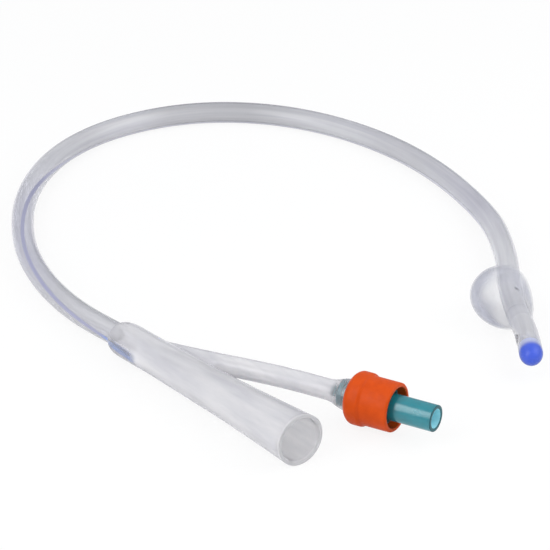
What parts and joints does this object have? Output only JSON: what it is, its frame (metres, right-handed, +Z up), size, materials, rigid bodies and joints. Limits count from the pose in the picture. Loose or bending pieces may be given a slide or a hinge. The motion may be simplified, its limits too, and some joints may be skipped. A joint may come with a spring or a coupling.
{
  "type": "foley urinary catheter",
  "caption": "Silicone balloon catheter lying in an open loop, with a rounded tip, a retention balloon, a drainage funnel and a colour-coded inflation arm with a spring valve.",
  "frame": {"origin": "on the table, under the centre of the whole outline", "axes": "+X along the drainage funnel and out of its mouth, +Y across the loop towards the balloon's side, +Z up"},
  "size_m": [0.1772, 0.1246, 0.0124],
  "materials": {
    "clear_silicone": "milky clear silicone, satin",
    "blue_line": "blue line in the silicone, satin",
    "royal_blue_silicone": "royal blue silicone, satin",
    "thin_clear_silicone": "thin clear silicone, glossy",
    "moulded_silicone": "milky moulded silicone, satin",
    "orange_sleeve": "orange, soft matte",
    "clear_teal_plastic": "tinted clear plastic, glossy",
    "teal_plastic": "tinted plastic, glossy",
    "white_plastic": "satin",
    "white_rubber": "matte",
    "spring_steel": "bright drawn wire"
  },
  "bodies": {
    "catheter": {"catheter_shaft": "clear_silicone", "xray_line": "blue_line", "rounded_tip": "royal_blue_silicone", "balloon": "thin_clear_silicone", "y_funnel": "moulded_silicone", "colour_sleeve": "orange_sleeve", "valve_housing": "clear_teal_plastic", "valve_retainer": "teal_plastic", "valve_spring": "spring_steel"},
    "valve_plunger": {"valve_plunger": "white_plastic", "valve_seal": "white_rubber"}
  },
  "joints": [
    {"name": "plunger_slide", "type": "slide", "parent": "catheter", "child": "valve_plunger", "axis": [-0.9272, -0.3746, 0], "range_m": [0, 0.0015], "stiffness_N_per_m": 300, "springref_m": -0.002, "deforming": ["valve_spring"]}
  ]
}
